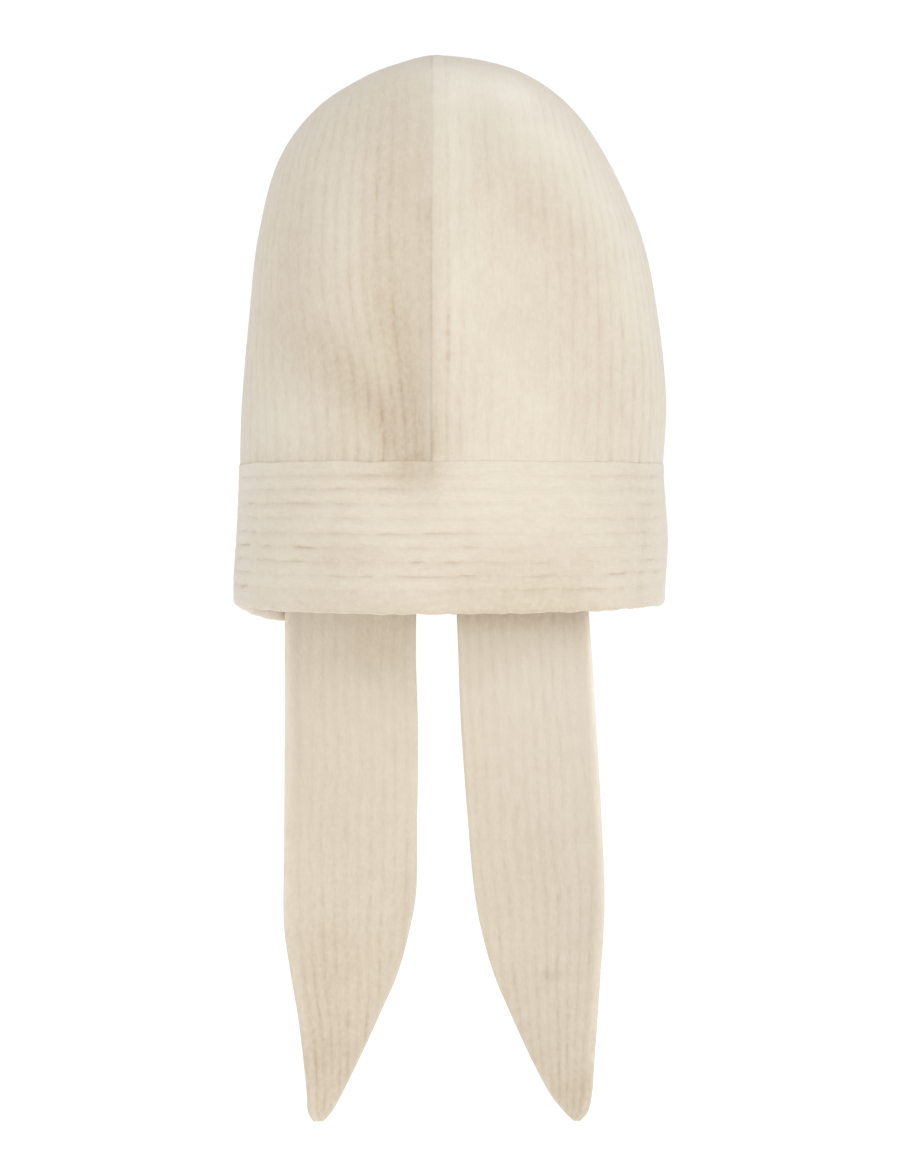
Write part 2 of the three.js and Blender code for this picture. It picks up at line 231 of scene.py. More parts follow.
# Hem: its highest point, how far it hangs below that at even steps round the hood from the front
# rightwards, how ragged it is, and how much painted shade lies on its roll
HEM_HEIGHT = -233.6
HEM_DROPS = [4.0, 2.4, 0.0, 1.4, 3.8, 7.2, 0.6, 2.6]
HEM_RAGGED = 0.3
HEM_SHADE = 0.8

# The band's top edge laps over the crown's foot: height above the crown's foot and depth below the
# band's face, from the joint outwards. Then how far that edge wanders up and down
BAND_LAP = [(-0.3, 0.95), (0.5, 0.85), (0.9, 0.55), (0.8, 0.25), (0.4, 0.07), (0.0, 0.0)]
LAP_WAVE = 0.4

# Ties from top to tip: the height, the left tie's edges, the right tie's edges, how much of the band's
# curve the ties still have in plan, and how much of their full thickness they have
TIES = np.array([
    [-199, -73.4, -15.9, 2, 60.3, 1, 1],
    [-240, -73.2, -15.9, 2.1, 60.3, 1, 1],
    [-286, -73.4, -15.7, 4.1, 63.5, 0.85, 1],
    [-332, -74, -15.4, 7.6, 66.1, 0.7, 1],
    [-360, -73.9, -15.9, 10.1, 67.3, 0.62, 1],
    [-378, -73, -19.1, 13.3, 66.9, 0.58, 1],
    [-397, -70.3, -24.3, 18.6, 65.5, 0.54, 1],
    [-415, -67.6, -32.4, 26, 64.1, 0.5, 1],
    [-433.5, -65.7, -41.1, 34.5, 62.8, 0.46, 1],
    [-449, -64.4, -48.8, 42.7, 61.7, 0.43, 1],
    [-457.5, -64, -53.5, 49.1, 60, 0.4, 0.85],
    [-462, -61.8, -57.3, 53.6, 56.6, 0.4, 0.5],
])
TIE_EDGES = {LEFT: (1, 2), RIGHT: (3, 4)}

# Ties: thickness, gap to the band's wall, depth of the ribs, depth of the slow swells, how many ribs,
# how much closer they stand where the tie is narrow, how round the edges are, how strong the painted
# highlight along the edges is and how far in it reaches, and the columns and rows of the mesh
TIE_THICKNESS = 4.6
TIE_CLEARANCE = 0.5
TIE_BEND = 0.3
TIE_SWELL = 1.1
TIE_RIBS = 11
TIE_SQUEEZE = 0.55
TIE_EDGE = 2.6
TIE_EDGE_HIGHLIGHT = 0.7
TIE_EDGE_HIGHLIGHT_REACH = 1.2
TIE_COLUMNS = 88
TIE_ROWS = 200

# Painted shade on the ties, under the hem and towards the tips, and painted light where the amount is below
# zero, given like the patches of the face
TIE_PAINTED_SHADE = [(*patch, BACK) for patch in (
    # The left tie
    (-45, -238, 6, 40, 0, 0.3),
    (-50, -274, 40, 30, 0, -0.4),
    (-40, -404, 22, 12, 0, -0.25),
    (-22, -370, 16, 8, 0, 0.25),
    (-34, -254, 16, 22, 0, 1),
    (-55, -390, 80, 34, 0, 0.5),
    (-62, -436, 18, 6, 0, 0.3),
    # The right tie
    (31, -237, 8, 60, 0, 2),
    (38, -268, 20, 50, 0, -0.9),
    (58, -298, 50, 16, 0, -0.6),
    (30, -296, 22, 22, 0, -0.35),
    (50, -410, 44, 18, 0, -0.15),
    (56, -456, 14, 14, 0, 0.5),
    (60, -446, 8, 4, 0, 0.5),
    # Painted shade on both tips
    (-10, -450, 75, 300, 0, 1.1),
)]

# Small faults of the ties: place across and in height, half width, half height and depth. Then how
# much deeper their tone is
TIE_FAULTS = [
    (-50.7, -292, 0.9, 2, 0.7),
    (29.4, -323.7, 0.8, 2.4, 0.6),
    (47.6, -362.7, 0.9, 2, 0.6),
    (43, -396, 5.5, 2.2, 0.6),
    (46.5, -400.5, 3.5, 2, -0.5),
]
FAULT_TONE = 0.7

# Painted shade in the soft hollows between ribs, and in the broken cuts there
RIB_SHADE = np.array([0.75, 1.4])

# Length of a stitch along its rib, and the cells of the noise each way
STITCH = 3.6
NOISE_CELLS = 64


# Geometry of the hood's face

def catmull(a, b, c, d, f):
    """A smooth curve through four neighbouring values."""
    return b + 0.5 * f * (c - a + f * (2 * a - 5 * b + 4 * c - d + f * (3 * (b - c) + d - a)))


def smooth_step(low, high, value):
    share = np.clip((value - low) / (high - low), 0, 1)
    return share * share * (3 - 2 * share)


def form_at(place):
    """The hood's form at fractional rows. Past the tip the dome comes down again on the far side."""
    beyond = FORM[TIP - 1] * np.array([1, -1, -1, -1, -1])
    levels = np.vstack([FORM[:1], FORM, beyond])
    row = np.clip(np.floor(place).astype(int), 0, TIP - 1)
    part = np.asarray(place - row)[..., None]
    return catmull(levels[row], levels[row + 1], levels[row + 2], levels[row + 3], part)


DENSE_PLACES = np.linspace(0, TIP, 3001)
DENSE_HEIGHTS = form_at(DENSE_PLACES)[:, HEIGHT]


def place_at(height):
    """The fractional row of the form at a height."""
    return np.interp(height, DENSE_HEIGHTS, DENSE_PLACES)


def quarter_table():
    """Quarter outlines in plan at even steps of length, for several ratios of side to depth."""
    ratios = np.exp(np.linspace(math.log(0.25), math.log(4), 61))
    angle = np.linspace(0, math.pi / 2, 2001)
    points, lengths = [], []
    for ratio in ratios:
        across = np.sin(angle) ** (2 / SQUARENESS)
        along = np.abs(np.cos(angle)) ** (2 / SQUARENESS)
        along[-1] = 0
        steps = np.hypot(np.diff(across * ratio), np.diff(along))
        length = np.concatenate([[0], np.cumsum(steps)])
        even = np.linspace(0, length[-1], 513)
        points.append(np.stack([np.interp(even, length, across), np.interp(even, length, along)], -1))
        lengths.append(length[-1])
    return ratios, np.array(points), np.array(lengths)


RATIOS, QUARTERS, QUARTER_LENGTHS = quarter_table()


def ratio_cell(ratio):
    """Where a ratio lies in the table: the cell below it and the part of the way to the next."""
    place = np.interp(np.log(ratio), np.log(RATIOS), np.arange(len(RATIOS)))
    cell = np.clip(np.floor(place).astype(int), 0, len(RATIOS) - 2)
    return cell, place - cell


def quarter_unit(ratio, share):
    """A point of a quarter outline, as shares of the side and of the depth."""
    cell, part = ratio_cell(ratio)
    steps = QUARTERS.shape[1] - 1
    place = np.clip(share, 0, 1) * steps
    step = np.clip(np.floor(place).astype(int), 0, steps - 1)
    ahead = (place - step)[..., None]
    part = part[..., None]
    low = QUARTERS[cell, step] * (1 - ahead) + QUARTERS[cell, step + 1] * ahead
    high = QUARTERS[cell + 1, step] * (1 - ahead) + QUARTERS[cell + 1, step + 1] * ahead
    return low * (1 - part) + high * part


def quarter_length(side, depth):
    cell, part = ratio_cell(np.asarray(side / depth))
    return depth * (QUARTER_LENGTHS[cell] * (1 - part) + QUARTER_LENGTHS[cell + 1] * part)


def patches(table, x, y, height):
    """The sum of a table's soft patches at points of the face."""
    total = np.zeros_like(x)
    for centre, middle, half_length, half_width, degrees, amount, end in table:
        facing = -y if end == FRONT else y
        lean = math.radians(degrees)
        across = (x - centre) * math.cos(lean) + (height - middle) * math.sin(lean)
        along = (height - middle) * math.cos(lean) - (x - centre) * math.sin(lean)
        spread = (across / half_width) ** 2 + (along / half_length) ** 2
        total = total + amount * np.exp(-spread) * smooth_step(10, 60, facing)
    return total


def dent_depth(x, y, height):
    """Depth of the dents at a point of the outer face. The left panel also falls from the seam."""
    depth = patches(DENTS, x, y, height)
    reach, top, deep, lowest, half_height = SEAM_FALL
    beside = np.maximum(SEAM_X - x, 0) / reach
    low = np.exp(-(((height - lowest) / half_height) ** 2))
    fade = smooth_step(HEM_HEIGHT + 20, BAND_TOP, height) * smooth_step(0, 14, -height)
    fall = beside * np.exp(1 - beside) * (top + (deep - top) * low)
    return depth + fall * fade * smooth_step(10, 60, -y)


def hood_face(place, side, end, share, inwards):
    """Points of the hood's face. Share runs from the seam to the side, inwards from the outer face."""
    place, share, inwards = np.broadcast_arrays(place, share, inwards)
    place, share = place.astype(float), share.astype(float)
    here = form_at(place)
    change = form_at(np.minimum(place + 1e-3, TIP)) - form_at(np.maximum(place - 1e-3, 0))
    reach = np.maximum(here[..., side], 1e-3)
    depth = np.maximum(here[..., end], 1e-3)
    unit = quarter_unit(reach / depth, share)
    across, along = unit[..., 0], unit[..., 1]
    x_sign = -1 if side == LEFT else 1
    y_sign = -1 if end == FRONT else 1
    slope = across ** SQUARENESS * change[..., side] / reach
    slope = slope + along ** SQUARENESS * change[..., end] / depth
    normal = np.stack([
        x_sign * across ** (SQUARENESS - 1) / reach * change[..., HEIGHT],
        y_sign * along ** (SQUARENESS - 1) / depth * change[..., HEIGHT],
        -slope,
    ], -1)
    normal /= np.linalg.norm(normal, axis=-1, keepdims=True)
    point = np.stack([
        SEAM_X + x_sign * reach * across,
        y_sign * depth * along,
        here[..., HEIGHT],
    ], -1)
    inset = inwards + dent_depth(point[..., 0], point[..., 1], point[..., 2])
    return point - normal * inset[..., None]


# Unevenness of hand-finished knit

def soft_noise(u, v, seed, around=NOISE_CELLS):
    """Smooth noise from -1 to 1, one cell to each whole step of u and v, which repeats along v."""
    lattice = np.random.default_rng(seed).uniform(-1, 1, (NOISE_CELLS, around))
    column, row = np.floor(u).astype(int), np.floor(v).astype(int)
    across, down = u - column, v - row
    across = across * across * (3 - 2 * across)
    down = down * down * (3 - 2 * down)

    def corner(i, j):
        return lattice[(column + i) % NOISE_CELLS, (row + j) % around]

    near = corner(0, 0) * (1 - across) + corner(1, 0) * across
    far = corner(0, 1) * (1 - across) + corner(1, 1) * across
    return near * (1 - down) + far * down


def flattened(points):
    """How much of the ribs' depth is left where the face turns to the sides and is drawn tight."""
    return 0.3 + 0.7 * smooth_step(12, 50, np.abs(points[:, 1]))


def grooves(rib, dash, seed, thin=0.6, around=NOISE_CELLS):
    """How deep the knit is below its crests, as shares: the soft round ribs, then the broken cuts."""
    crest = np.abs(np.sin(math.pi * rib))
    groove = np.round(rib)
    run = 0.12 + 0.88 * smooth_step(-0.2, 0.75, soft_noise(groove, dash, seed, around))
    slow = 0.85 + 0.3 * soft_noise(groove, dash / 4, seed + 1, around // 4)
    return np.stack([(1 - crest ** 2) * (1 - thin) * slow, (1 - crest) ** 3 * thin * run * slow])


def edge_round(distance, radius):
    """How far a rounded edge lies below its face, at a distance from the edge."""
    short = np.clip(1 - distance / radius, 0, 1)
    return radius * (1 - np.sqrt(np.maximum(1 - short * short, 0)))


class Shell:
    """Collects rows of points and the triangles between them, and makes a closed object."""

    def __init__(self):
        self.points, self.shade, self.uv, self.vertex_of, self.triangles = [], [], [], [], []
        self.count = 0

    def row(self, points, uv, shade=0.0):
        """Adds points with their cloth coordinates and their painted shade, and returns their numbers."""
        first = self.count
        self.count += len(points)
        self.points.append(np.asarray(points, float))
        self.shade.append(np.broadcast_to(np.asarray(shade, float), len(points)))
        return self.again(np.arange(first, self.count), uv)

    def again(self, vertices, uv):
        """Uses points once more with other cloth coordinates."""
        first = sum(len(part) for part in self.vertex_of)
        self.vertex_of.append(np.asarray(vertices))
        self.uv.append(np.broadcast_to(np.asarray(uv, float), (len(vertices), 2)))
        return np.arange(first, first + len(vertices))

    def bridge(self, a, a_at, b, b_at):
        """Fills between two rows whose points lie at rising places a_at and b_at."""
        events = np.concatenate([a_at[1:], b_at[1:]])
        kind = np.concatenate([np.zeros(len(a) - 1, int), np.ones(len(b) - 1, int)])
        kind = kind[np.lexsort((kind, events))]
        i = np.cumsum(kind == 0) - (kind == 0)
        j = np.cumsum(kind == 1) - (kind == 1)
        on_a = kind == 0
        self.triangles.append(np.stack([a[i[on_a]], a[i[on_a] + 1], b[j[on_a]]], -1))
        self.triangles.append(np.stack([a[i[~on_a]], b[j[~on_a] + 1], b[j[~on_a]]], -1))

    def build(self, name, material, sharp=50):
        points = np.concatenate(self.points) * MM
        uv = np.concatenate(self.uv)
        vertex_of = np.concatenate(self.vertex_of)
        triangles = np.concatenate(self.triangles)
        faces = vertex_of[triangles]
        whole = (faces[:, 0] != faces[:, 1]) & (faces[:, 1] != faces[:, 2]) & (faces[:, 0] != faces[:, 2])
        faces, triangles = faces[whole], triangles[whole]
        mesh = bpy.data.meshes.new(name)
        mesh.from_pydata(points.tolist(), [], faces.tolist())
        layer = mesh.uv_layers.new(name="ribs")
        layer.data.foreach_set("uv", uv[triangles].reshape(-1).astype(np.float32))
        edit = bmesh.new()
        edit.from_mesh(mesh)
        bmesh.ops.recalc_face_normals(edit, faces=edit.faces)
        edit.to_mesh(mesh)
        edit.free()
        tone = mesh.attributes.new("shade", "FLOAT", "POINT")
        tone.data.foreach_set("value", np.concatenate(self.shade).astype(np.float32))
        mesh.shade_smooth()
        mesh.set_sharp_from_angle(angle=math.radians(sharp))
        mesh.materials.append(material)
        piece = bpy.data.objects.new(name, mesh)
        bpy.context.scene.collection.objects.link(piece)
        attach(piece, "root")
        return piece


# Crown

def crown_places(rows):
    """Fractional rows of the form at even steps up the dome."""
    dense = np.linspace(CROWN_FOOT, TIP, 2001)
    form = form_at(dense)
    reach = form[:, LEFT:].mean(axis=1)
    length = np.concatenate([[0], np.cumsum(np.hypot(np.diff(reach), np.diff(form[:, HEIGHT])))])
    even = np.linspace(0, length[-1], rows)
    return np.interp(even, length, dense), even


def rib_share(share, side, end, height):
    """Where a rib line lies between the seam and the side, as a share of the way."""
    drift = 0
    if end == FRONT:
        start, finish = DRIFT_HEIGHTS
        drift = RIB_DRIFT[side] * smooth_step(-start, -finish, -height) * np.sin(math.pi * share)
    return share * (1 - RIB_GROWTH) + RIB_GROWTH * share * share - drift


class CrownRow:
    """One row of a crown panel: its rib count, its length and how rounded the ribs turn at the side."""

    def __init__(self, side, place, along):
        self.place, self.along, self.side = place, along, side
        form, foot = form_at(np.array([place]))[0], form_at(np.array([CROWN_FOOT]))[0]
        self.height = form[HEIGHT]
        self.length = self.quarter(form)
        full = self.quarter(foot)
        self.fullness = self.length / full
        self.ribs = CROWN_RIBS[side] * min(1, RIB_CROWDING * self.fullness)
        self.rounding = SIDE_ROUNDING * smooth_step(0.03, 0.3, 1 - self.fullness)

    def quarter(self, form):
        depth = max((form[FRONT] + form[BACK]) / 2, 1e-3)
        return float(quarter_length(max(form[self.side], 1e-3), depth))

    def columns(self, between):
        """Columns of the row from the seam to the side, in ribs."""
        every = (np.arange(math.ceil(self.ribs))[:, None] + between).reshape(-1)
        return np.append(every[every < self.ribs - 0.04], self.ribs)

    def side_distance(self, rib):
        """Distance from the side line, where the front ribs turn into the back ones."""
        span = math.sqrt(self.length ** 2 + self.rounding ** 2) - self.rounding
        eased = (1 - rib / max(self.ribs, 1e-6)) * span
        return np.sqrt(np.maximum((eased + self.rounding) ** 2 - self.rounding ** 2, 0))


def crown_ribs(row, end, rib, spot):
    """How deep the knit is below its crests along a row of the crown, as shares."""
    to_side = row.side_distance(rib)
    on_dome = smooth_step(0.02, 0.35, 1 - row.fullness)
    fade = 1 - on_dome * (1 - smooth_step(4, 34, to_side))
    fade = fade * (0.15 + 0.85 * smooth_step(0.35, 0.95, row.fullness)) * min(row.length / 30, 1)
    fade = fade * (1 - patches(BRUSHED, *spot.T).clip(0, 1))
    start = FOLD_RIBS if row.side == RIGHT else 0
    from_seam = smooth_step(start, start + 0.7, rib)
    return grooves(rib - start, row.along / DASH, 11 * row.side + end, 0.45) * fade * from_seam


def fold_groove(row, end, rib):
    """The stitched groove beside the right panel's folded edge, as a share: uneven dashes half way up."""
    run = 0.4 + 0.6 * math.exp(-(((row.height - FOLD_MIDDLE) / FOLD_HALF) ** 2))
    dashes = smooth_step(-0.6, 0.7, soft_noise(np.float64(end), row.along / 2.2, 17))
    slow = 0.7 + 0.3 * soft_noise(np.float64(end), row.along / 11, 19)
    near = np.exp(-(((rib - FOLD_RIBS) / 0.17) ** 2)) * min(row.length / 30, 1)
    return near * run * slow * (0.45 + 0.55 * dashes)


def wander(row, end, rib):
    """Sideways unevenness of the rib lines, in millimetres."""
    seed = 31 + 7 * row.side + end
    steady = np.clip(rib / 2, 0, 1) * np.clip((row.ribs - rib) / 2, 0, 1)
    slow = soft_noise(rib / 2.2, row.along / 26, seed)
    quick = soft_noise(rib / 1.3, row.along / 9, seed + 3)
    return WANDER * (slow + 0.35 * quick) * steady


def unevenness(points, side):
    """Lumps of the soft cloth, in millimetres. The back has its own stretch of the noise."""
    x, y, z = points[..., 0], points[..., 1], points[..., 2]
    behind = (y > 0) * 9
    total = np.zeros_like(x)
    for depth, width, tall, start, seed in LUMPS:
        noise = soft_noise(x / width + start, z / tall + start + behind, 51 + side + seed)
        total = total + depth * noise
    return total * smooth_step(5, 40, np.abs(y))


def crown_layer(shell, rows, between, surface):
    """One face of a crown panel. Returns its foot row, its seam edge and the places along each."""
    tip_row = rows[-1]
    seam_face = SEAM_X + (-1 if tip_row.side == LEFT else 1) * SEWN_GAP / 2
    tip_inwards = float(surface(tip_row, FRONT, np.zeros(1))[0][0])
    tip = shell.row([[seam_face, 0, tip_row.height - tip_inwards]], [0, tip_row.along / STITCH])
    feet, edges, side_points = [], [], {}
    for end in (FRONT, BACK):
        below = None
        edge = []
        for number, row in enumerate(rows[:-1]):
            rib = row.columns(between)
            share = 1 - row.side_distance(rib) / row.length
            share = share + wander(row, end, rib) / row.length
            laid = rib_share(np.clip(share, 0, 1), row.side, end, row.height)
            inwards, lap, shade = surface(row, end, rib)
            points = hood_face(row.place, row.side, end, laid, inwards)
            points[:, 0] -= lap
            points[0, 0] = seam_face
            if number == 0:
                points[:, 2] = BAND_TOP
            uv = np.stack([rib, np.full(len(rib), row.along / STITCH)], -1)
            if end == FRONT:
                numbers = shell.row(points, uv, shade)
                side_points[number] = numbers[-1:]
            else:
                numbers = np.append(shell.row(points[:-1], uv[:-1], shade[:-1]), side_points[number])
            at = np.append(rib[:-1], 1e3)
            if below is not None:
                shell.bridge(below[0], below[1], numbers, at)
            else:
                feet.append((numbers, rib))
            below = (numbers, at)
            edge.append(numbers[0])
        shell.bridge(below[0], below[1], tip, np.zeros(1))
        edges.append(np.append(edge, tip))
    return feet, edges, np.array([row.along for row in rows])


def crown_panel(name, side, sizes, material):
    places, along = crown_places(CROWN_ROWS)
    rows = [CrownRow(side, place, distance) for place, distance in zip(places, along)]
    shell = Shell()

    def outer(row, end, rib):
        spot = hood_face(row.place, side, end, rib / max(row.ribs, 1e-6), np.zeros_like(rib))
        knit = crown_ribs(row, end, rib, spot)
        near_foot = math.exp(-row.along / JOINT_REACH)
        inwards = sizes["crown_relief"] * knit.sum(axis=0) * flattened(spot)
        inwards = inwards + sizes["joint_tuck"] * near_foot
        inwards = inwards + unevenness(spot, side) * (1 - math.exp(-row.along / JOINT_CALM))
        tight = SIDE_SHADE + (1 - SIDE_SHADE) * flattened(spot)
        # Painted shade in the rib hollows, the patches of painted shade and light, and painted shade over
        # the left panel and in the crease at the band
        shade = RIB_SHADE @ knit * tight + patches(PAINTED_SHADE, *spot.T)
        shade = shade + JOINT_SHADE[side] * near_foot + PANEL_SHADE[side]
        to_seam = row.length - row.side_distance(rib)
        if side == LEFT:
            return inwards + edge_round(to_seam, EDGE_ROUND), np.zeros_like(rib), shade
        groove = fold_groove(row, end, rib)
        rise = FOLD_RISE * (1 - smooth_step(FOLD_RIBS - 0.35, FOLD_RIBS, rib)) * min(row.length / 20, 1)
        rise = rise * (1 - near_foot)
        inwards = inwards + FOLD_GROOVE * groove - rise
        inwards = inwards + edge_round(to_seam, FOLD_ROUND) * min(row.length / 12, 1)
        lap = LAP * np.exp(-to_seam / LAP_REACH) * smooth_step(0, 0.04, rib) * min(row.length / 3, 1)
        # Painted shade in the stitched groove beside the fold
        return inwards, lap, shade + FOLD_SHADE * groove

    def inner(row, end, rib):
        knit = grooves(rib + 0.5, row.along / DASH, 91 + side).sum(axis=0) * min(row.length / 30, 1)
        # Painted shade in the rib hollows of the inner face
        return CROWN_WALL - CROWN_INSIDE * knit, np.zeros_like(rib), 0.3 * knit

    fine = COLUMNS if side == LEFT else np.sort(np.append(COLUMNS, 0.02))
    outer_feet, outer_edges, outer_at = crown_layer(shell, rows, fine, outer)
    inner_rows = rows[:-1:3] + rows[-1:]
    inner_feet, inner_edges, inner_at = crown_layer(shell, inner_rows, np.arange(3) / 3, inner)
    for (a, a_at), (b, b_at) in zip(outer_feet, inner_feet):
        shell.bridge(a, a_at, b, b_at)
    for a, b in zip(outer_edges, inner_edges):
        shell.bridge(a, outer_at, b, inner_at)
    return shell.build(name, material)


# Band

def hem_drop(angle):
    """How far the hem hangs below its highest point, at angles round the hood."""
    drops = np.array(HEM_DROPS)
    place = (angle % 360) / (360 / len(drops))
    row = np.floor(place).astype(int)
    near = [drops[(row + step) % len(drops)] for step in (-1, 0, 1, 2)]
    return catmull(*near, place - row)


def band_face(angle, height, inwards):
    """Points of the band at angles round the hood from the front, rightwards."""
    points = np.zeros((len(angle), 3))
    turn = angle % 360
    for side, end, low, seam in ((RIGHT, FRONT, 0, 0), (RIGHT, BACK, 90, 180),
                                 (LEFT, BACK, 180, 180), (LEFT, FRONT, 270, 360)):
        here = (turn >= low) & (turn < low + 90)
        share = np.abs(turn[here] - seam) / 90
        place = place_at(height[here])
        points[here] = hood_face(place, side, end, share, inwards[here] - BAND_PROUD)
    points[:, 2] = height
    return points


def band_section():
    """The band's section: rib place, share of the way down, depth below the crest, and how ribbed it is."""
    ribs = len(BAND_GROOVES) - 1
    roll = BAND_WALL / 2
    fall = abs(HEM_HEIGHT - BAND_TOP) + 3
    section = [(0.0, -(rise + SEWN_GAP) / fall, depth, 0.0) for rise, depth in BAND_LAP]
    rib = (np.arange(ribs - 1)[:, None] + COLUMNS).reshape(-1)[2:]
    down = np.interp(rib, np.arange(ribs + 1), BAND_GROOVES)
    section += [(r, d, 0.0, float(smooth_step(0.1, 0.5, r))) for r, d in zip(rib, down)]
    last = BAND_GROOVES[-2]
    turn = 1 - roll / fall
    for step in range(0, 7):
        part = step / 7
        section.append((ribs - 1 + part * 0.7, last + (turn - last) * part, 0.0, 1.0))
    for step in range(0, 13):
        swing = math.pi * step / 12
        section.append((ribs - 0.3 + step * 0.05, turn + math.sin(swing) * roll / fall,
                        roll * (1 - math.cos(swing)), 0.0))
    for step in range(1, 31):
        part = step / 30
        section.append((ribs + 0.3 + part * ribs * 0.9, turn * (1 - part), BAND_WALL, -1.0))
    return section


def band(sizes, material):
    shell = Shell()
    turn = np.arange(BAND_COLUMNS) / BAND_COLUMNS
    dash, around = turn * BAND_DASHES, turn * BAND_SWELLS
    top = BAND_TOP - SEWN_GAP
    ragged = HEM_RAGGED * soft_noise(1.0, dash, 12, BAND_DASHES)
    ragged = ragged + HEM_RAGGED * soft_noise(1.0, dash * 2.5, 14, BAND_DASHES * 5 // 2)
    wave = LAP_WAVE * soft_noise(4.0, dash / 2, 13, BAND_DASHES // 2)
    bottom = HEM_HEIGHT - hem_drop(turn * 360) + ragged
    loops = []
    for rib, down, depth, ribbed in band_section():
        held = math.sin(math.pi * min(max(down, 0), 1))
        broken = float(0.45 + 0.25 * smooth_step(0.3, 0.6, down))
        spot = band_face(turn * 360, top + (bottom - top) * down, np.zeros_like(turn))
        hidden = patches(BRUSHED, *spot.T).clip(0, 1)
        knit = grooves(rib, dash, 5, broken, BAND_DASHES) * max(ribbed, 0) * (1 - hidden)
        inwards = depth + sizes["band_relief"] * knit.sum(axis=0) * flattened(spot)
        if ribbed < 0:
            inwards = inwards - BAND_INSIDE * grooves(rib, dash, 6, broken, BAND_DASHES).sum(axis=0)
        inwards = inwards + held * BAND_SWELL * soft_noise(down * 2.2 + 3, around, 8, BAND_SWELLS)
        drift = soft_noise(rib / 2, around * 2, 9, BAND_SWELLS * 2)
        drift = held * BAND_DRIFT * (drift + 0.4 * soft_noise(rib, dash, 10, BAND_DASHES))
        height = top + (bottom - top) * down + drift + wave * math.exp(-12 * max(down, 0))
        points = band_face(turn * 360, height, inwards)
        # Painted shade in the rib hollows and on the hem's roll, then on the outer face the patches of
        # painted shade and light
        shade = RIB_SHADE @ knit * (0.4 + 0.7 * flattened(spot)) + HEM_SHADE * smooth_step(0.95, 1.0, down)
        if ribbed >= 0:
            shade = shade + patches(PAINTED_SHADE, *points.T)
        uv = np.stack([np.full(BAND_COLUMNS, rib), turn * BAND_ROUND / STITCH], -1)
        numbers = shell.row(points, uv, shade)
        first = shell.vertex_of[-1][:1]
        closing = shell.again(first, [rib, BAND_ROUND / STITCH])
        loops.append(np.append(numbers, closing))
    at = np.arange(BAND_COLUMNS + 1)
    for near, far in zip(loops, loops[1:] + loops[:1]):
        shell.bridge(near, at, far, at)
    return shell.build("band_knit", material)


# Ties

def along_wall(x):
    """Where a tie's middle layer lies behind the ear line when it follows the band's back wall."""
    here = form_at(place_at(np.array([HEM_HEIGHT])))[0]
    inset = BAND_WALL + TIE_CLEARANCE + (TIE_THICKNESS + TIE_BEND) / 2 - BAND_PROUD
    side = np.where(x < SEAM_X, here[LEFT], here[RIGHT]) - inset
    share = np.minimum(np.abs(x - SEAM_X) / side, 1)
    return (here[BACK] - inset) * (1 - share ** SQUARENESS) ** (1 / SQUARENESS)


def tie_rows(table, count):
    """The tie's table at even steps down it."""
    levels = np.vstack([2 * table[0] - table[1], table, 2 * table[-1] - table[-2]])
    dense = np.linspace(0, len(table) - 1, 2001)
    row = np.minimum(np.floor(dense).astype(int), len(table) - 2)
    part = (dense - row)[:, None]
    values = catmull(levels[row], levels[row + 1], levels[row + 2], levels[row + 3], part)
    height = np.linspace(table[0, 0], table[-1, 0], count)
    ease = np.linspace(0, 1, 9)[1:]
    height = np.concatenate([height[:-1], height[-2] + (height[-1] - height[-2]) * ease])
    return np.stack([np.interp(-height, -values[:, 0], values[:, k]) for k in range(5)], -1)


